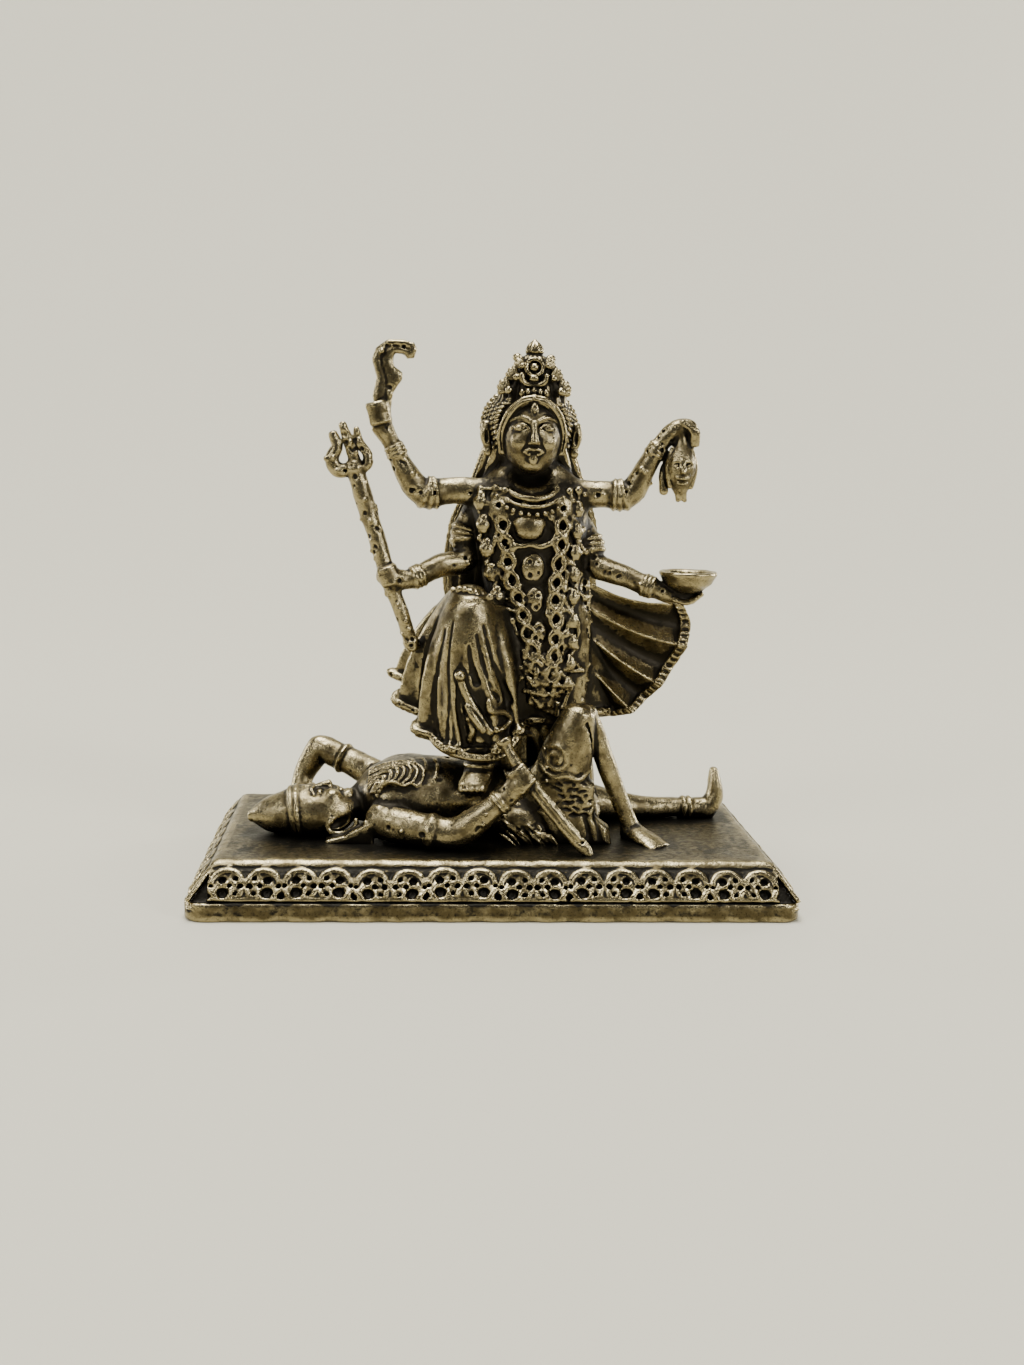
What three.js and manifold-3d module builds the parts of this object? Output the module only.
// Kali standing on Shiva: a small antique brass casting on an oblong plinth with a frieze of arches.
// Everything is one casting, so everything is joined into one mesh.
// Millimetres, +Z up, +X to the viewer's right, the front faces -Y.
// The origin is at the middle of the plinth's underside.

import * as THREE from "three";
import { mergeVertices } from "three/addons/utils/BufferGeometryUtils.js";
import Module from "manifold-3d";

const wasm = await Module();
wasm.setup();

// Driving dimensions
const PLINTH_LENGTH = 62;
const PLINTH_DEPTH = 31.5;
const PLINTH_HEIGHT = 5.55;
const PLINTH_BAND = 2.0; // height of the upright band round the foot
const PLINTH_SLOPE_RUN = 2.75; // how far each side leans in above the band
const PLINTH_CORNER = 1.7; // radius of the upright corners
const FRIEZE_DEPTH = 0.45; // how far the panels lie behind the band and the rim
const RIM_HEIGHT = 0.55; // height of the rim above the panels
const FRONT_ARCHES = 16;
const END_ARCHES = 7;
const ARCH_TOP_GAP = 0.33; // between the top of the arches and the rim
const OPENING_WIDTH = 0.6; // of the opening inside an arch, as a share of the arch's own width
const OPENING_DROP = 0.12; // how far the opening's round head sits below the arch's
const OPENING_LEAN = 0.1; // how far the opening is pushed towards its pair's middle
const OPENING_TAPER = 0.1; // how much nearer the middle each side of the opening is at its sill
const SILL_HEIGHT = 0.63; // of the opening's sill, above the band
const FIGURE_HEIGHT = 52.2; // from the plinth's top to the tip of the crown

// The figures are drawn at these sizes, and then scaled from the plinth's top to FIGURE_HEIGHT.
const DRAWN_TOP = 5.55;
const DRAWN_HEIGHT = 52.2;

const BAND_LENGTH = 1.1; // of an armlet, bracelet or anklet, along the limb
const BAND_RISE = 0.36; // how far such a band stands proud

const OVERLAP = 0.09; // how far a piece reaches into what it is joined to

const COLOUR = 0x96875a;

// General helpers

const v = (x, y, z) => new THREE.Vector3(x, y, z);
const mirrored = [-1, 1];

// Takes a list of vertices and one of triangles, and turns the faces outwards.
function closedSolid(vertices, triangles) {
  const build = (order) =>
    new wasm.Manifold(
      new wasm.Mesh({
        numProp: 3,
        vertProperties: new Float32Array(vertices),
        triVerts: new Uint32Array(order),
      }),
    );
  const made = build(triangles);
  if (made.volume() > 0) return made;
  return build(triangles.toReversed());
}

function solidOf(geometry) {
  geometry.deleteAttribute("normal");
  geometry.deleteAttribute("uv");
  const merged = mergeVertices(geometry, 1e-4);
  return closedSolid(
    Array.from(merged.attributes.position.array),
    Array.from(merged.index.array),
  );
}

const join = (...solids) => solids.flat().reduce((all, one) => all.add(one));

// A casting has no sealed pockets, so those that a join leaves between its pieces are filled.
const filled = (solid) => join(solid.decompose().filter((body) => body.volume() > 0));

// A closed body through rings of equally many points, each end shut by a fan.
function loft(rings) {
  const sides = rings[0].length;
  const middle = (ring) =>
    ring.reduce((sum, p) => sum.add(p), v(0, 0, 0)).divideScalar(sides);
  const points = rings.flat();
  const startPole = points.length;
  const endPole = startPole + 1;
  points.push(middle(rings[0]), middle(rings.at(-1)));
  const faces = [];
  const lastRing = (rings.length - 1) * sides;
  for (let s = 0; s < sides; s++) {
    const next = (s + 1) % sides;
    for (let row = 0; row < lastRing; row += sides) {
      const [a, b, c, d] = [row + s, row + next, row + sides + s, row + sides + next];
      faces.push(a, b, d, a, d, c);
    }
    faces.push(startPole, next, s);
    faces.push(endPole, lastRing + s, lastRing + next);
  }
  return closedSolid(
    points.flatMap((p) => p.toArray()),
    faces,
  );
}

// A rounded tube through stations [x, y, z, half width, half depth].
// The half depth lies along `depthAxis`, and equals the half width where it is left out.
// `ends` says how far each end is domed, as a share of its half width.
// Each of `bands` is a raised ring, such as a bracelet, at a share of the way along.
// The tube has no stations of its own inside a band's clearance, so its rings stay in order.
const BAND_FOOT = 1.1; // half length of a band where it meets the limb, as a share of its own
const BAND_CREST = 0.8; // and where it stands proud
const BAND_CLEARANCE = 1.6;
const END_TAPER = 0.5; // size of a domed end's last ring, as a share of the end

function limb(stations, { sides = 6, depthAxis = v(0, 1, 0), ends = [0.6, 0.6], bands = [] } = {}) {
  const line = new THREE.CatmullRomCurve3(stations.map(([x, y, z]) => v(x, y, z)));
  const widths = new THREE.CatmullRomCurve3(stations.map((s) => v(s[3], s[4] ?? s[3], 0)));
  const ring = (u, swell, outwards, shrink) => {
    const along = line.getTangent(u);
    const side = v(0, 0, 0).crossVectors(along, depthAxis).normalize();
    const depth = v(0, 0, 0).crossVectors(side, along).normalize();
    const size = widths.getPoint(u);
    const centre = line.getPoint(u).addScaledVector(along, outwards * size.x);
    return Array.from({ length: sides }, (_, s) => {
      const turn = (2 * Math.PI * (s + 0.5)) / sides;
      return centre
        .clone()
        .addScaledVector(side, Math.cos(turn) * (size.x + swell) * shrink)
        .addScaledVector(depth, Math.sin(turn) * (size.y + swell) * shrink);
    });
  };
  const span = stations.length - 1;
  const half = BAND_LENGTH / 2 / line.getLength();
  const marks = stations
    .map((_, i) => [i / span, 0])
    .filter(([u]) => bands.every((at) => Math.abs(u - at) > half * BAND_CLEARANCE));
  for (const at of bands) {
    for (const way of mirrored) {
      marks.push([at + way * half * BAND_FOOT, 0], [at + way * half * BAND_CREST, BAND_RISE]);
    }
  }
  marks.sort((a, b) => a[0] - b[0]);
  const rings = marks.map(([u, swell]) => ring(u, swell, 0, 1));
  if (ends[0] > 0) rings.unshift(ring(0, 0, -ends[0], END_TAPER));
  if (ends[1] > 0) rings.push(ring(1, 0, ends[1], END_TAPER));
  return loft(rings);
}

// An upright body through level ovals [x, y, z, half width, half depth].
// `grooves` are cut round it to a depth that is a share of the half width.
function column(stations, { sides = 12, grooves = 0, grooveDepth = 0 } = {}) {
  return loft(
    stations.map(([x, y, z, width, depth]) =>
      Array.from({ length: sides }, (_, s) => {
        const turn = (2 * Math.PI * s) / sides;
        const size = 1 - grooveDepth * (0.5 - 0.5 * Math.cos(grooves * turn));
        return v(x + Math.cos(turn) * width * size, y + Math.sin(turn) * depth * size, z);
      }),
    ),
  );
}

// Facets of the smallest rounded details
const SMALL = { around: 5, up: 3 };

function ball(centre, sizes, { around = 7, up = 5, turn = [0, 0, 0] } = {}) {
  const geometry = new THREE.SphereGeometry(1, around, up).rotateX(Math.PI / 2);
  geometry.scale(...sizes);
  geometry.applyQuaternion(new THREE.Quaternion().setFromEuler(new THREE.Euler(...turn)));
  geometry.translate(...centre);
  return solidOf(geometry);
}

// A round ring about a point, whose hole looks along `axis`.
function hoop(centre, axis, radius, thickness, { around = 8, tube = 4 } = {}) {
  const geometry = new THREE.TorusGeometry(radius, thickness, tube, around);
  const facing = v(...axis).normalize();
  geometry.applyQuaternion(new THREE.Quaternion().setFromUnitVectors(v(0, 0, 1), facing));
  geometry.translate(...centre);
  return solidOf(geometry);
}

// A flat piece cut to an outline [[x, z], ...] in the picture plane, between two depths.
function slab(outline, front, back) {
  const shape = new THREE.Shape(outline.map(([x, z]) => new THREE.Vector2(x, z)));
  const geometry = new THREE.ExtrudeGeometry(shape, { depth: back - front, bevelEnabled: false });
  geometry.rotateX(Math.PI / 2);
  geometry.translate(0, back, 0);
  return solidOf(geometry);
}

// A bar bent along an arc of an upright oval, in the plane of one depth.
function arc([x, y, z], width, height, fromDegrees, toDegrees, thickness, segments = 6) {
  const stations = Array.from({ length: segments + 1 }, (_, i) => {
    const turn = THREE.MathUtils.degToRad(THREE.MathUtils.lerp(fromDegrees, toDegrees, i / segments));
    return [x + Math.cos(turn) * width, y, z + Math.sin(turn) * height, thickness];
  });
  return limb(stations, { sides: 4 });
}

// Plinth

function roundedOblong(length, depth, radius, z, cornerSteps = 2) {
  const points = [];
  const corners = [
    [1, 1, 0],
    [-1, 1, 90],
    [-1, -1, 180],
    [1, -1, 270],
  ];
  for (const [sx, sy, start] of corners) {
    for (let i = 0; i <= cornerSteps; i++) {
      const turn = THREE.MathUtils.degToRad(start + (90 * i) / cornerSteps);
      points.push(
        v(
          sx * (length / 2 - radius) + Math.cos(turn) * radius,
          sy * (depth / 2 - radius) + Math.sin(turn) * radius,
          z,
        ),
      );
    }
  }
  return points;
}

// The sloping body of the plinth, `inset` behind its true faces, between two heights.
function slopedBody(inset, fromZ, toZ) {
  const slopeRise = PLINTH_HEIGHT - PLINTH_BAND;
  const level = (z) => {
    const shrink = inset + (PLINTH_SLOPE_RUN * (z - PLINTH_BAND)) / slopeRise;
    return roundedOblong(PLINTH_LENGTH - 2 * shrink, PLINTH_DEPTH - 2 * shrink, PLINTH_CORNER, z);
  };
  return loft([level(fromZ), level(toZ)]);
}

const ARCH_STEPS = 3; // straight lines that make up an arch's round head
const flat = (x, y) => new THREE.Vector2(x, y);

// Half a ring of points over a centre, from right to left
function archPoints(middle, springing, halfWidth) {
  return Array.from({ length: ARCH_STEPS + 1 }, (_, i) => {
    const turn = (Math.PI * i) / ARCH_STEPS;
    return flat(middle + Math.cos(turn) * halfWidth, springing + Math.sin(turn) * halfWidth);
  });
}

// A row of arches on one side, side by side in one strip: `half` is how far the side's foot
// lies from the middle. In a pierced row each arch has an opening, and they lean together in pairs.
function frieze({ count, length, half, facing, pierced }) {
  const slopeRise = PLINTH_HEIGHT - PLINTH_BAND;
  const slopeLength = Math.hypot(slopeRise, PLINTH_SLOPE_RUN);
  const lean = Math.atan2(PLINTH_SLOPE_RUN, slopeRise);
  const panel = length - 2 * PLINTH_SLOPE_RUN - PLINTH_CORNER;
  const pitch = panel / count;
  const radius = pitch / 2;
  const springing = slopeLength - RIM_HEIGHT - ARCH_TOP_GAP - radius;
  const middles = Array.from({ length: count }, (_, i) => panel / 2 - (i + 0.5) * pitch);
  const arches = middles.flatMap((x) => archPoints(x, springing, radius).slice(1));
  const start = flat(panel / 2, springing);
  const strip = new THREE.Shape([start, ...arches, flat(-panel / 2, 0), flat(panel / 2, 0)]);
  if (pierced) {
    middles.forEach((x, i) => {
      const inwards = i % 2 ? OPENING_LEAN : -OPENING_LEAN;
      const opening = archPoints(x + inwards, springing - OPENING_DROP, radius * OPENING_WIDTH);
      const left = flat(opening.at(-1).x + OPENING_TAPER, SILL_HEIGHT);
      const right = flat(opening[0].x - OPENING_TAPER, SILL_HEIGHT);
      strip.holes.push(new THREE.Path([...opening, left, right]));
    });
  }
  const depth = FRIEZE_DEPTH + OVERLAP;
  const geometry = new THREE.ExtrudeGeometry(strip, { depth, bevelEnabled: false });
  geometry.translate(0, 0, -depth);
  geometry.rotateX(Math.PI / 2 - lean);
  geometry.translate(0, -half, PLINTH_BAND);
  geometry.rotateZ(facing);
  return solidOf(geometry);
}

// The raised bar that fills the round corner between two panels
function cornerBar(sx, sy) {
  const disc = (shrink, z) =>
    Array.from({ length: 8 }, (_, i) => {
      const turn = (2 * Math.PI * i) / 8;
      return v(
        sx * (PLINTH_LENGTH / 2 - shrink - PLINTH_CORNER) + Math.cos(turn) * PLINTH_CORNER,
        sy * (PLINTH_DEPTH / 2 - shrink - PLINTH_CORNER) + Math.sin(turn) * PLINTH_CORNER,
        z,
      );
    });
  return loft([disc(0, PLINTH_BAND), disc(PLINTH_SLOPE_RUN, PLINTH_HEIGHT)]);
}

function plinth() {
  const band = loft([
    roundedOblong(PLINTH_LENGTH, PLINTH_DEPTH, PLINTH_CORNER, 0),
    roundedOblong(PLINTH_LENGTH, PLINTH_DEPTH, PLINTH_CORNER, PLINTH_BAND),
  ]);
  const core = slopedBody(FRIEZE_DEPTH, PLINTH_BAND, PLINTH_HEIGHT);
  const rim = slopedBody(0, PLINTH_HEIGHT - RIM_HEIGHT, PLINTH_HEIGHT);
  const bars = mirrored.flatMap((sx) => mirrored.map((sy) => cornerBar(sx, sy)));
  const long = { count: FRONT_ARCHES, length: PLINTH_LENGTH, half: PLINTH_DEPTH / 2 };
  const short = { count: END_ARCHES, length: PLINTH_DEPTH, half: PLINTH_LENGTH / 2, pierced: false };
  const rows = [
    frieze({ ...long, facing: 0, pierced: true }),
    frieze({ ...long, facing: Math.PI, pierced: false }),
    frieze({ ...short, facing: Math.PI / 2 }),
    frieze({ ...short, facing: -Math.PI / 2 }),
  ];
  return join(band, core, rim, bars, rows);
}

// Shiva, lying on his back with his head to the viewer's left

const SHIVA_BODY = [
  [-14.6, -1.4, 8.6, 1.7, 1.9],
  [-12.2, -1.2, 9.1, 3.3, 5.2],
  [-9, -1, 9.4, 4.0, 5.4],
  [-5, -1, 9.2, 4.2, 4.8],
  [-1, -1, 8.9, 3.9, 4.4],
  [3.5, -1, 8.5, 3.5, 4.8],
  [8.5, -0.8, 8.0, 2.9, 4.6],
  [10.5, -0.5, 7.6, 2.2, 3.8],
];

function shivaBody() {
  return limb(SHIVA_BODY, { sides: 10, ends: [0.3, 0.5] });
}

// A station between the listed ones, found by its value on one axis
function stationAt(stations, axis, value) {
  const above = stations.findIndex((s) => s[axis] >= value);
  if (above <= 0) return above < 0 ? stations.at(-1) : stations[0];
  const [from, to] = [stations[above - 1], stations[above]];
  const share = (value - from[axis]) / (to[axis] - from[axis]);
  return from.map((number, i) => THREE.MathUtils.lerp(number, to[i], share));
}

const ovalRise = (offset, half) => Math.sqrt(Math.max(0, 1 - (offset / half) ** 2));

// How high the lying body's surface is above a point
function shivaSurface(x, y) {
  const [, middleY, middleZ, halfHeight, halfDepth] = stationAt(SHIVA_BODY, 0, x);
  return middleZ + halfHeight * ovalRise(y - middleY, halfDepth);
}

// Locks that fan over the chest in rows, one round the other
function shivaChestLocks() {
  return [0, 1].map((row) => {
    const width = 0.9 + row * 1.3;
    const stations = [0, 1, 2, 3, 4].map((i) => {
      const turn = -Math.PI / 2 + (Math.PI * i) / 4;
      const x = -11.0 + Math.cos(turn) * (1.8 + row * 1.9);
      const y = -2.2 + Math.sin(turn) * width * 1.2;
      return [x, y, shivaSurface(x, y) - OVERLAP, 0.4];
    });
    return limb(stations, { sides: 4 });
  });
}

const SHIVA_HEAD = [
  [-13.4, -1.8, 8.4, 2.0],
  [-15.2, -2.6, 8.5, 1.7, 2.0],
  [-16.6, -3.1, 8.2, 2.5, 2.7],
  [-18.4, -3.2, 8.0, 2.75, 3.1],
  [-20.2, -3.1, 8.0, 2.7, 3.0],
  [-22.2, -3.1, 7.7, 2.3, 2.5],
  [-24.2, -3.05, 7.45, 1.7, 1.8],
  [-25.6, -3, 7.3, 0.7, 0.8],
];
const SHIVA_FACE = { x: -18.0, y: -3.6, top: 10.5 };

function shivaHead() {
  const head = limb(SHIVA_HEAD, { sides: 8, bands: [0.64] });
  const { x, y, top } = SHIVA_FACE;
  const eyes = mirrored.map((s) => ball([x - 0.5, y + s * 1.2, top - 0.15], [0.35, 0.6, 0.35], SMALL));
  const nose = limb([
    [x - 0.6, y, top, 0.35],
    [x + 0.8, y, top + 0.45, 0.5],
  ]);
  const lips = ball([x + 1.8, y, top - 0.15], [0.35, 0.8, 0.4], SMALL);
  return join(head, eyes, nose, lips);
}

function shivaEarring() {
  const loop = hoop([-16.5, -5.3, 7.1], [0.15, -1, 0.25], 1.2, 0.38);
  const sash = slab(
    [
      [-17.6, 5.3],
      [-13.2, 5.3],
      [-13.0, 7.9],
      [-16.2, 6.3],
      [-17.6, 6.0],
    ],
    -6.4,
    -5.2,
  );
  return join(loop, sash);
}

function shivaNearArm() {
  const arm = limb(
    [
      [-12.2, -6.0, 7.8, 1.9, 1.6],
      [-9.6, -7.4, 7.5, 1.95, 1.7],
      [-6.8, -8.4, 7.3, 1.75, 1.6],
      [-4.2, -9.0, 7.2, 1.7, 1.5],
      [-1.9, -9.3, 8.8, 1.5, 1.3],
      [0.9, -9.5, 11.2, 1.15, 1.1],
      [2.4, -9.5, 12.7, 1.35, 1.5],
      [3.2, -9.5, 13.4, 0.8, 1.2],
    ],
    { sides: 7, bands: [0.28, 0.7] },
  );
  const link = ball([-6.9, -8.6, 5.6], [0.4, 0.4, 0.55], SMALL);
  return join(arm, link);
}

function shivaSword() {
  return limb(
    [
      [0.55, -8.0, 16.9, 0.95],
      [0.95, -8.2, 16.2, 0.72],
      [1.9, -8.8, 14.8, 0.65],
      [4.2, -9.7, 11.8, 0.6, 0.5],
      [7.2, -10.6, 8.3, 0.62, 0.45],
      [9.0, -11.0, 6.3, 0.5, 0.4],
      [9.6, -11.15, 5.5, 0.12],
    ],
    { ends: [0, 0] },
  );
}

function shivaFarArm() {
  return limb(
    [
      [-12.0, 2.8, 10.2, 1.7],
      [-14.5, 5.2, 11.7, 1.4],
      [-17.2, 6.5, 12.9, 1.25],
      [-19.5, 7.0, 13.6, 1.15],
      [-20.7, 7.0, 11.6, 1.05],
      [-21.2, 6.6, 9.4, 0.95],
      [-21.0, 5.0, 7.2, 1.2],
      [-20.0, 2.0, 6.5, 1.4, 1.8],
    ],
    { bands: [0.24] },
  );
}

function shivaNearLeg() {
  const thigh = limb(
    [
      [4.6, -3.6, 8.4, 3.0, 2.6],
      [6.9, -5.0, 12.4, 3.0, 2.5],
      [7.9, -5.8, 16.4, 2.55, 2.2],
      [8.6, -6.0, 19.2, 1.8, 1.7],
    ],
    { sides: 7, bands: [0.55] },
  );
  const shin = limb([
    [9.2, -5.4, 19.3, 1.45, 1.3],
    [10.9, -4.9, 16.3, 1.0, 1.1],
    [12.6, -4.7, 12.4, 0.9, 1.05],
    [14.3, -4.5, 8.2, 0.85, 0.95],
    [15.0, -4.4, 6.2, 1.1, 1.2],
  ]);
  const foot = limb(
    [
      [14.8, -4.2, 6.1, 1.0, 1.1],
      [16.3, -6.2, 5.9, 0.75, 1.1],
      [17.5, -7.8, 5.55, 0.45, 1.0],
    ],
    { depthAxis: v(1, 0.7, 0) },
  );
  const flap = slab(
    [
      [6.6, 5.3],
      [12.6, 5.3],
      [12.2, 7.2],
      [10.6, 8.4],
      [10.4, 12.0],
      [7.5, 13.0],
      [4.6, 9.0],
    ],
    -7.4,
    -4.6,
  );
  return join(thigh, shin, foot, flap);
}

function shivaFarLeg() {
  const leg = limb(
    [
      [8.0, 2.4, 8.1, 2.7, 2.6],
      [12.5, 3.1, 7.3, 1.9, 1.9],
      [17.0, 3.5, 6.8, 1.35, 1.4],
      [21.5, 4.0, 6.65, 1.1, 1.15],
      [24.6, 4.2, 6.5, 1.25, 1.2],
    ],
    { sides: 7, bands: [0.82] },
  );
  const foot = limb([
    [24.9, 4.2, 6.2, 1.15, 1.2],
    [26.0, 4.5, 7.9, 0.8, 1.35],
    [26.0, 4.8, 9.6, 0.6, 1.35],
    [25.7, 5.0, 10.8, 0.35, 0.9],
  ]);
  return join(leg, foot);
}

// Leaf-shaped tufts of the tiger skin, beside the hip
function tigerSkinTufts() {
  return [0, 1, 2, 3].map((i) => {
    const row = i % 2;
    const x = 0.8 + i * 1.5;
    return limb(
      [
        [x, -4.4 - row * 0.4, 9.0 - row * 1.0, 0.4],
        [x + 0.9, -5.6 - row * 0.6, 7.9 - row * 0.9, 0.75, 0.45],
        [x + 2.0, -6.4 - row * 0.8, 6.3 - row * 0.4, 0.2],
      ],
      { sides: 4 },
    );
  });
}

// Kali

const SHOULDER_LINE = 43.6;

const KALI_TORSO = [
  [7.2, 1.6, 5.3, 3.0, 2.6],
  [6.9, 1.2, 12, 3.0, 2.7],
  [6.3, 0.4, 17, 3.9, 3.0],
  [5.5, -0.2, 22, 4.7, 3.3],
  [4.8, -0.3, 28, 5.3, 3.2],
  [3.9, -0.2, 34, 5.6, 2.9],
  [3.5, 0, 39, 6.0, 2.9],
  [3.4, 0.2, 42.2, 6.2, 2.6],
  [3.4, 0.3, SHOULDER_LINE, 4.9, 2.1],
  [3.3, 0.2, SHOULDER_LINE + 2.6, 1.9, 1.8],
];

// How far forward the torso's surface comes at a point of the picture plane
function torsoFront(x, z) {
  const [middleX, middleY, , halfWidth, halfDepth] = stationAt(KALI_TORSO, 2, z);
  return middleY - halfDepth * ovalRise(x - middleX, halfWidth);
}

// Stations [x, z, ...sizes] laid on the torso, and sunk a little into it
const onTorso = (stations) =>
  stations.map(([x, z, ...sizes]) => [x, torsoFront(x, z) + OVERLAP, z, ...sizes]);

function kaliTorso() {
  const core = column(KALI_TORSO, { sides: 10 });
  const torque = hoop([3.35, -1.0, 42.9], [0, -0.55, 1], 2.75, 0.42, { around: 10 });
  return join(core, torque);
}

// A string of little heads or beads through stations [x, z]
function beadString(stations, beads, radius) {
  const line = new THREE.CatmullRomCurve3(stations.map(([x, z]) => v(x, 0, z)));
  return Array.from({ length: beads }, (_, i) => {
    const { x, z } = line.getPoint(i / (beads - 1));
    return ball([x, torsoFront(x, z) - 0.15, z], [radius, radius, radius * 1.05], SMALL);
  });
}

const HEADS_RIGHT = [
  [8.3, 40.4],
  [8.0, 33.5],
  [8.0, 26.5],
  [7.7, 22.1],
];
const HEADS_LEFT = [
  [-1.9, 41.0],
  [-1.6, 38.7],
  [-0.7, 33.7],
  [0.0, 31.2],
];
const CHAIN_RIGHT = [
  [6.6, 40.8, 0.55],
  [6.5, 36.5, 0.6],
  [6.0, 32.0, 0.55],
  [6.2, 28.0, 0.6],
  [5.8, 23.5, 0.5],
];
const CHAIN_LEFT = [
  [-0.3, 40.8, 0.55],
  [0.8, 36.5, 0.6],
  [1.3, 33.3, 0.55],
  [2.5, 30.0, 0.6],
  [4.2, 24.8, 0.5],
];
const DROPS = [
  [3.1, 38.7, 1.8, 1.15],
  [3.6, 34.0, 1.05, 1.2],
  [3.9, 30.6, 0.85, 1.1],
  [4.6, 27.0, 0.8, 1.3],
];

function kaliGarlands() {
  const heads = [...beadString(HEADS_RIGHT, 8, 0.85), ...beadString(HEADS_LEFT, 4, 0.9)];
  const chains = [CHAIN_RIGHT, CHAIN_LEFT].map((chain) => limb(onTorso(chain), { sides: 4 }));
  const drops = DROPS.map(([x, z, width, height]) =>
    ball([x, torsoFront(x, z), z], [width, 0.7, height], SMALL),
  );
  const fringe = [0, 1, 2].map((i) =>
    limb(
      onTorso([
        [2.4 + i * 1.6, 26.4 - i * 0.6, 0.75],
        [3.3 + i * 1.4, 22.8 - i * 0.5, 0.8],
        [4.4 + i * 0.9, 19.6 + i * 0.2, 0.3],
      ]),
      { sides: 4 },
    ),
  );
  return join(heads, chains, drops, fringe);
}

// The face is the calm round mask of the type: eyes halfway up the head, with the third eye above.
const FACE = { x: 3.2, y: -1.7, z: 48.1, halfWidth: 3.1, halfDepth: 3.2, halfHeight: 4.15 };

function kaliFace() {
  const { x, y, z, halfWidth, halfDepth, halfHeight } = FACE;
  const front = y - halfDepth;
  const skull = ball([x, y, z], [halfWidth, halfDepth, halfHeight], { around: 10, up: 6 });
  const eyes = mirrored.map((s) => ball([x + s * 1.35, front + 0.55, z + 0.55], [0.72, 0.4, 0.3], SMALL));
  const nose = limb(
    [
      [x, front + 0.15, z + 1.0, 0.3],
      [x, front - 0.35, z - 0.7, 0.5],
    ],
    { sides: 5 },
  );
  const lips = ball([x, front + 0.35, z - 1.85], [1.05, 0.4, 0.32], SMALL);
  const tongue = ball([x, front + 0.2, z - 2.7], [0.5, 0.35, 0.85], SMALL);
  const thirdEye = ball([x, front + 0.4, z + 2.25], [0.34, 0.3, 0.75], SMALL);
  const hairline = arc([x, y - 1.6, z + 0.4], halfWidth, 3.75, 10, 170, 0.5);
  return join(skull, eyes, nose, lips, tongue, thirdEye, hairline);
}

function kaliHairCap() {
  const cap = ball([3.15, 0.4, 49.2], [4.7, 3.9, 3.9], { around: 9, up: 5 });
  const braids = [0, 1].map((row) =>
    arc([3.15, -1.7 + row * 1.5, 48.9], 4.0 + row * 0.65, 3.6 + row * 0.3, -20, 200, 0.55, 7),
  );
  const ears = mirrored.map((s) => ball([FACE.x + s * 4.75, -0.9, 47.8], [0.55, 0.7, 1.7], SMALL));
  return join(cap, braids, ears);
}

function kaliCrown() {
  const body = column(
    [
      [3.25, -0.6, 51.2, 3.9, 3.0],
      [3.3, -0.8, 52.8, 3.6, 2.8],
      [3.3, -0.9, 54.4, 2.6, 2.1],
      [3.3, -1.0, 55.8, 1.75, 1.4],
      [3.3, -1.0, 56.1, 0.75, 0.75],
      [3.3, -1.0, 56.7, 1.05, 1.05],
      [3.3, -1.0, 57.75, 0.08, 0.08],
    ],
    { sides: 16, grooves: 8, grooveDepth: 0.16 },
  );
  const disc = ball([3.2, -2.7, 54.75], [1.1, 0.6, 1.1], SMALL);
  const crescent = arc([3.15, -3.2, 53.7], 1.3, 0.95, 170, 370, 0.32, 4);
  return join(body, disc, crescent);
}

// Loose hair down the back, combed into long locks
function kaliBackHair() {
  return column(
    [
      [2.9, 2.6, 29.6, 8.0, 0.9],
      [2.8, 3.3, 31.2, 8.5, 1.7],
      [2.8, 3.5, 35.0, 8.5, 2.0],
      [3.0, 3.2, 39.0, 8.0, 2.1],
      [3.2, 2.4, 42.8, 6.4, 2.3],
      [3.15, 1.4, 47.6, 4.6, 3.0],
      [3.15, 1.2, 51.0, 3.2, 2.4],
    ],
    { sides: 18, grooves: 9, grooveDepth: 0.12 },
  );
}

function kaliUpperRightArm() {
  return limb(
    [
      [-1.2, 0.2, 41.7, 1.6],
      [-4.6, 0, 42.0, 1.45],
      [-8.0, -0.5, 41.8, 1.5],
      [-9.7, -0.7, 43.7, 1.25],
      [-11.2, -1.0, 46.6, 0.9],
      [-12.5, -1.1, 48.7, 1.3],
      [-13.6, -1.1, 50.0, 0.9],
    ],
    { bands: [0.25, 0.63] },
  );
}

// The outline of the sickle in the picture plane
const SICKLE = [
  [-12.4, 48.6],
  [-13.3, 51.4],
  [-12.9, 53.4],
  [-13.4, 55.1],
  [-13.0, 56.3],
  [-11.8, 57.2],
  [-10.3, 57.2],
  [-9.1, 56.9],
  [-8.75, 56.3],
  [-9.1, 55.35],
  [-9.8, 55.3],
  [-10.1, 55.75],
  [-11.05, 55.8],
  [-11.25, 55.2],
  [-11.1, 54.5],
  [-10.2, 53.9],
  [-10.3, 53.2],
  [-11.2, 51.8],
  [-11.5, 49.0],
];

const kaliSickle = () => slab(SICKLE, -1.65, -0.35);

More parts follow.
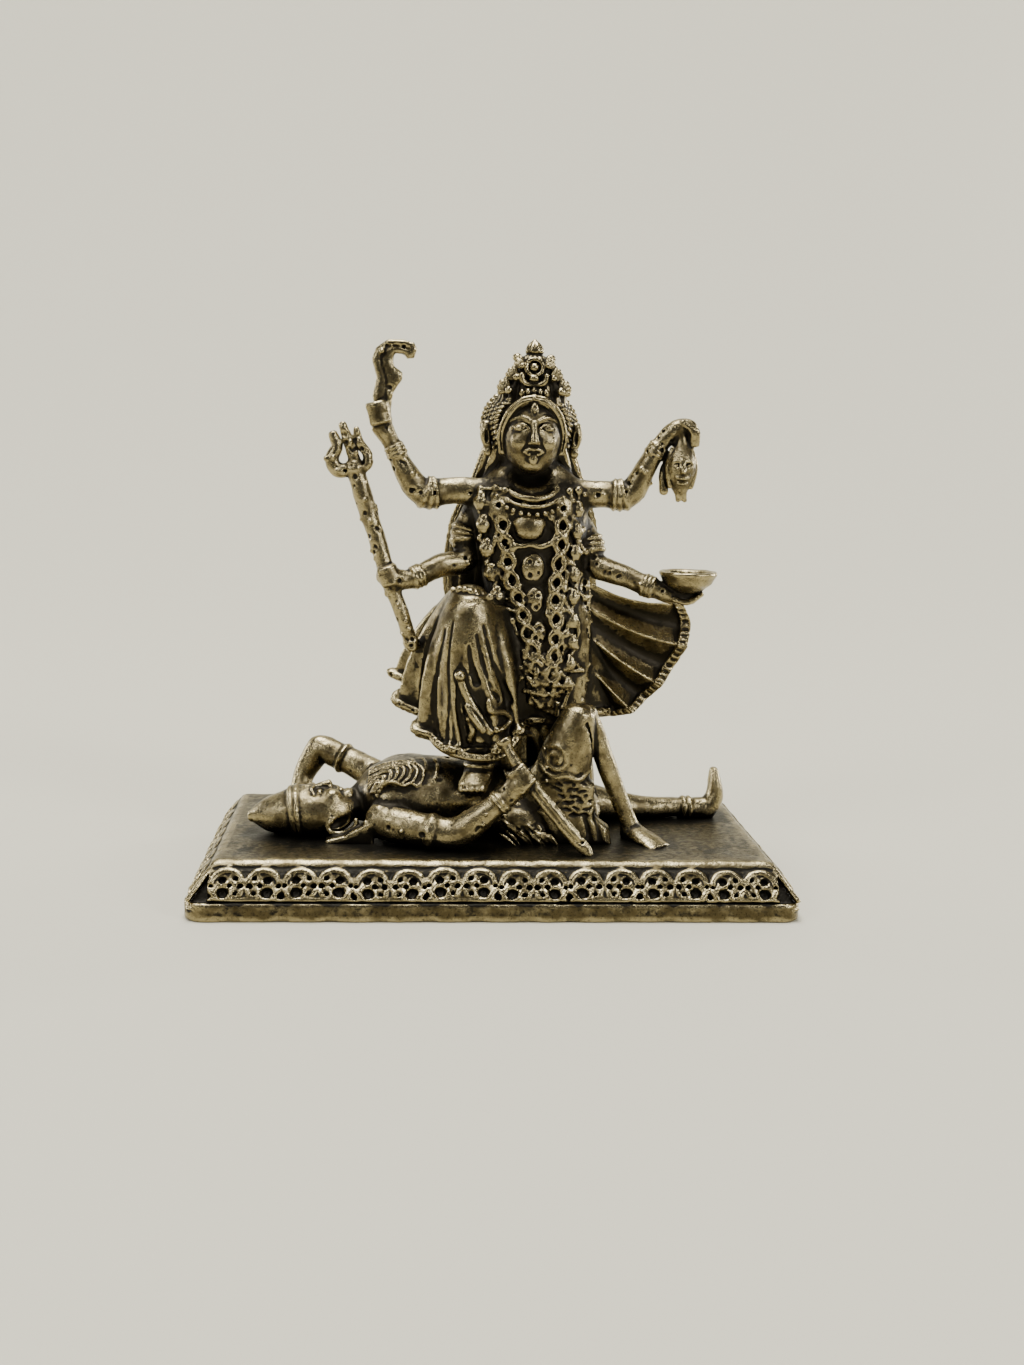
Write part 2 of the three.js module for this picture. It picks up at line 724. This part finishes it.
function kaliTrident() {
  const staff = limb([
    [-15.1, -2.0, 44.4, 0.95],
    [-14.2, -2.1, 41.5, 1.0],
    [-13.3, -2.2, 38.8, 0.95],
    [-12.2, -2.4, 35.5, 0.9],
    [-11.5, -2.5, 32.9, 0.85],
    [-10.3, -2.5, 30.0, 0.8],
    [-8.8, -2.5, 25.6, 0.72],
  ]);
  const middle = limb(
    [
      [-14.8, -2, 44.5, 0.6],
      [-15.5, -2, 46.7, 0.55],
      [-16.35, -2, 48.6, 0.35],
    ],
    { sides: 5 },
  );
  const left = limb(
    [
      [-15.3, -2, 43.9, 0.6],
      [-16.9, -2, 43.8, 0.65],
      [-17.6, -2, 44.9, 0.65],
      [-16.9, -2, 46.3, 0.6],
      [-17.3, -2, 47.6, 0.4],
    ],
    { sides: 5 },
  );
  const right = limb(
    [
      [-14.7, -2, 44.0, 0.55],
      [-13.6, -2, 44.7, 0.55],
      [-13.6, -2, 45.8, 0.55],
      [-14.5, -2, 46.8, 0.5],
      [-14.9, -2, 48.2, 0.35],
    ],
    { sides: 5 },
  );
  return join(staff, middle, left, right);
}

function kaliLowerRightArm() {
  return limb(
    [
      [-2.4, 1.4, 39.8, 1.4],
      [-3.4, 1.1, 37.2, 1.35],
      [-3.3, 0.4, 34.8, 1.35],
      [-6.1, -1.0, 34.1, 1.25],
      [-9.4, -2.1, 32.7, 1.05],
      [-11.2, -2.5, 32.9, 1.25],
      [-12.2, -2.6, 33.1, 0.9],
    ],
    { bands: [0.12, 0.58] },
  );
}

function kaliUpperLeftArm() {
  return limb(
    [
      [7.6, 0.2, 41.9, 1.6],
      [10.6, 0, 42.0, 1.45],
      [13.9, -0.4, 42.2, 1.45],
      [15.3, -0.8, 44.6, 1.15],
      [16.7, -1.0, 47.1, 0.95],
      [18.4, -1.2, 49.0, 0.95],
      [19.9, -1.4, 49.2, 0.75],
      [20.3, -1.6, 47.6, 0.5],
    ],
    { bands: [0.2, 0.53] },
  );
}

function kaliSeveredHead() {
  const head = limb(
    [
      [19.1, -1.4, 49.0, 0.5],
      [19.0, -1.5, 47.4, 0.8],
      [19.0, -1.5, 45.8, 1.55],
      [19.0, -1.5, 44.2, 1.5],
      [19.1, -1.5, 42.7, 0.85],
      [19.2, -1.5, 41.9, 0.4],
    ],
    { sides: 7 },
  );
  const nose = ball([19.0, -3.0, 44.9], [0.3, 0.3, 0.5], SMALL);
  const drop = limb(
    [
      [18.0, -1.2, 46.4, 0.45],
      [17.3, -1.1, 44.4, 0.5],
      [17.4, -1.2, 42.4, 0.5],
    ],
    { sides: 5 },
  );
  return join(head, nose, drop);
}

function kaliLowerLeftArm() {
  return limb(
    [
      [8.8, 1.4, 38.6, 1.5],
      [9.8, 0.8, 36.4, 1.55],
      [10.4, 0.2, 34.6, 1.4],
      [13.6, -1.0, 33.4, 1.2],
      [16.6, -2.0, 32.3, 1.05],
      [18.8, -2.4, 31.6, 0.95],
      [20.8, -2.5, 31.7, 0.7],
    ],
    { bands: [0.14, 0.62] },
  );
}

const BOWL = { x: 20.15, y: -2.5, rimZ: 33.9, radius: 3.0, depth: 2.0, wall: 0.6, lip: 0.25 };

function kaliBowl() {
  const { x, y, rimZ, radius, depth, wall, lip } = BOWL;
  const inner = radius - wall;
  const profile = [
    [0, -depth],
    [radius * 0.45, -depth * 0.92],
    [radius * 0.85, -depth * 0.5],
    [radius, 0],
    [radius, lip],
    [inner, lip],
    [inner * 0.75, -depth * 0.4],
    [0, -depth * 0.55],
  ].map(([r, h]) => new THREE.Vector2(r, h));
  const geometry = new THREE.LatheGeometry(profile, 10).rotateX(Math.PI / 2);
  geometry.translate(x, y, rimZ);
  return solidOf(geometry);
}

// The skirt over the raised knee and round the back.
// Each pair is a fold's crest: where it leaves the waist or knee, and where it meets the hem.
const SKIRT_CRESTS = [
  [v(9.3, 1.5, 30), v(13.2, 2.6, 17.5)],
  [v(8.0, 3.2, 31), v(10.6, 6.4, 16.6)],
  [v(5.5, 3.8, 31.5), v(6.0, 8.6, 16.3)],
  [v(1.5, 3.8, 31.5), v(0.6, 8.8, 16.6)],
  [v(-1.5, 3.0, 31.8), v(-4.8, 7.3, 18.0)],
  [v(-3.4, 1.4, 32), v(-9.2, 4.6, 20.4)],
  [v(-4.4, -0.4, 32), v(-10.9, 1.8, 21.7)],
  [v(-4.8, -2.2, 31.9), v(-10.4, -0.4, 19.0)],
  [v(-4.6, -4.0, 31.6), v(-8.1, -3.2, 16.2)],
  [v(-3.7, -5.6, 31.2), v(-4.3, -5.8, 14.7)],
  [v(-1.8, -5.8, 31.2), v(0.3, -6.2, 14.7)],
  [v(-0.4, -4.4, 30.5), v(2.6, -4.4, 16.6)],
  [v(2, -2.5, 30), v(4.6, -2.4, 17.4)],
  [v(7, -2, 30), v(9.0, -1.4, 17.4)],
];
const FOLD_DEPTH = 0.95;
const HEM_WIDTH = 0.1; // of a hem's border, as a share of the fall from the waist
const HEM_RISE = 0.4; // how far the border stands proud of the cloth
const SKIRT_BULGE = 1.1; // how far the cloth billows halfway down
const SKIRT_MIDDLE = v(1, 0.5, 0); // the folds point away from here

function skirt() {
  const waist = new THREE.CatmullRomCurve3(SKIRT_CRESTS.map((pair) => pair[0]), true);
  const hem = new THREE.CatmullRomCurve3(SKIRT_CRESTS.map((pair) => pair[1]), true);
  const count = SKIRT_CRESTS.length * 2;
  const rows = [
    [0, 0],
    [0.5, 0],
    [1 - HEM_WIDTH, 0],
    [1 - HEM_WIDTH, HEM_RISE],
    [1, HEM_RISE],
  ];
  const rings = rows.map(([t, rise]) =>
    Array.from({ length: count }, (_, i) => {
      const turn = i / count;
      const foot = hem.getPoint(turn);
      const point = waist.getPoint(turn).lerp(foot, t);
      const outwards = foot.clone().sub(SKIRT_MIDDLE).setZ(0).normalize();
      const bulge = SKIRT_BULGE * Math.sin(Math.PI * t);
      const fold = -FOLD_DEPTH * t * (i % 2);
      return point.addScaledVector(outwards, bulge + fold + rise);
    }),
  );
  const knee = ball([-3.0, -3.9, 30.4], [2.3, 2.7, 2.1], { around: 8 });
  return join(loft(rings), knee);
}

// The part of the skirt that flies out to the viewer's right, in folds that spread from the hip,
// deepen outwards and ease a little at the hem. The upper edge is a crest.
const FAN_HEM = [
  [20.7, 3.2, 30.3],
  [21.9, 3.0, 27.8],
  [21.3, 3.0, 25.5],
  [20.2, 3.0, 23.0],
  [18.7, 2.9, 21.1],
  [17.3, 2.8, 19.4],
  [15.6, 2.7, 18.1],
  [13.4, 2.6, 17.4],
];
const FAN_HIP = [
  [8.4, 1.2, 33.4],
  [8.4, 1.2, 24.4],
];
const FAN_FOLDS = 3.5;
const FAN_FOLD_DEPTH = 1.5;
const FAN_THICKNESS = 1.1;
const FAN_SAG = 1.1; // of the upper edge, between the hip and the hem

function flyingSkirt() {
  const hem = new THREE.CatmullRomCurve3(FAN_HEM.map((p) => v(...p)));
  const hip = new THREE.CatmullRomCurve3(FAN_HIP.map((p) => v(...p)));
  const across = FAN_FOLDS * 4;
  const rows = [
    [0, 0],
    [0.45, 0],
    [1 - HEM_WIDTH, 0],
    [1 - HEM_WIDTH, HEM_RISE],
    [1, HEM_RISE],
  ];
  const rings = rows.map(([t, rise]) => {
    const place = (u, side) => {
      const point = hip.getPoint(u).lerp(hem.getPoint(u), t);
      point.z -= FAN_SAG * Math.sin(Math.PI * t) * (1 - u);
      point.y -= FAN_FOLD_DEPTH * t * (1 - t ** 3 / 2) * Math.cos(2 * Math.PI * FAN_FOLDS * u);
      point.y += side * (FAN_THICKNESS / 2 + rise);
      return point;
    };
    const front = Array.from({ length: across + 1 }, (_, i) => place(i / across, -1));
    const back = Array.from({ length: across + 1 }, (_, i) => place(1 - i / across, 1));
    return [...front, ...back];
  });
  return loft(rings);
}

function sashEnds() {
  const strands = [
    [
      [-3.9, -6.6, 23.6, 0.6],
      [-2.7, -7.1, 21.2, 0.5],
      [-1.2, -7.3, 19.2, 0.62],
      [0.1, -7.2, 17.5, 0.45],
    ],
    [
      [-1.3, -6.4, 21.6, 0.4],
      [-1.1, -6.9, 20.4, 0.36],
      [1.2, -7.0, 19.4, 0.36],
      [1.2, -7.0, 18.4, 0.36],
      [-0.2, -7.1, 18.2, 0.34],
    ],
    [
      [-2.9, -6.5, 19.0, 0.5],
      [-2.4, -6.4, 17.0, 0.5],
      [-1.2, -6.2, 15.8, 0.5],
    ],
  ];
  return strands.map((strand) => limb(strand, { sides: 4 }));
}

// The right foot, planted on the other figure's belly
function kaliRightFoot() {
  const ankle = limb(
    [
      [-1.7, -4.0, 16.4, 1.6],
      [-1.65, -4.6, 14.4, 1.5],
      [-1.65, -5.0, 12.2, 1.5],
    ],
    { sides: 7, bands: [0.45] },
  );
  const foot = limb(
    [
      [-1.4, -3.6, 12.6, 1.3],
      [-1.9, -5.6, 12.4, 1.2, 1.5],
      [-2.4, -7.0, 11.6, 0.8, 1.5],
    ],
    { depthAxis: v(1, 0, 0) },
  );
  return join(ankle, foot);
}

// Assembly

function figures() {
  const shiva = [
    shivaBody(),
    shivaChestLocks(),
    shivaHead(),
    shivaEarring(),
    shivaNearArm(),
    shivaSword(),
    shivaFarArm(),
    shivaNearLeg(),
    shivaFarLeg(),
    tigerSkinTufts(),
  ];
  const kali = [
    kaliTorso(),
    kaliGarlands(),
    kaliFace(),
    kaliHairCap(),
    kaliCrown(),
    kaliBackHair(),
    kaliUpperRightArm(),
    kaliSickle(),
    kaliTrident(),
    kaliLowerRightArm(),
    kaliUpperLeftArm(),
    kaliSeveredHead(),
    kaliLowerLeftArm(),
    kaliBowl(),
    skirt(),
    flyingSkirt(),
    sashEnds(),
    kaliRightFoot(),
  ];
  const scale = FIGURE_HEIGHT / DRAWN_HEIGHT;
  return join(shiva.flat(), kali.flat())
    .translate([0, 0, -DRAWN_TOP])
    .scale(scale)
    .translate([0, 0, PLINTH_HEIGHT]);
}

function geometryOf(solid) {
  const { vertProperties, triVerts } = solid.getMesh();
  const geometry = new THREE.BufferGeometry();
  geometry.setAttribute("position", new THREE.BufferAttribute(vertProperties, 3));
  geometry.setIndex(new THREE.BufferAttribute(triVerts, 1));
  geometry.computeVertexNormals();
  return geometry;
}

const casting = new THREE.Mesh(
  geometryOf(filled(join(plinth(), figures()))),
  new THREE.MeshStandardMaterial({ color: COLOUR, metalness: 1, roughness: 0.38 }),
);
casting.name = "kali_figure";

const group = new THREE.Group();
group.add(casting);

export default group;
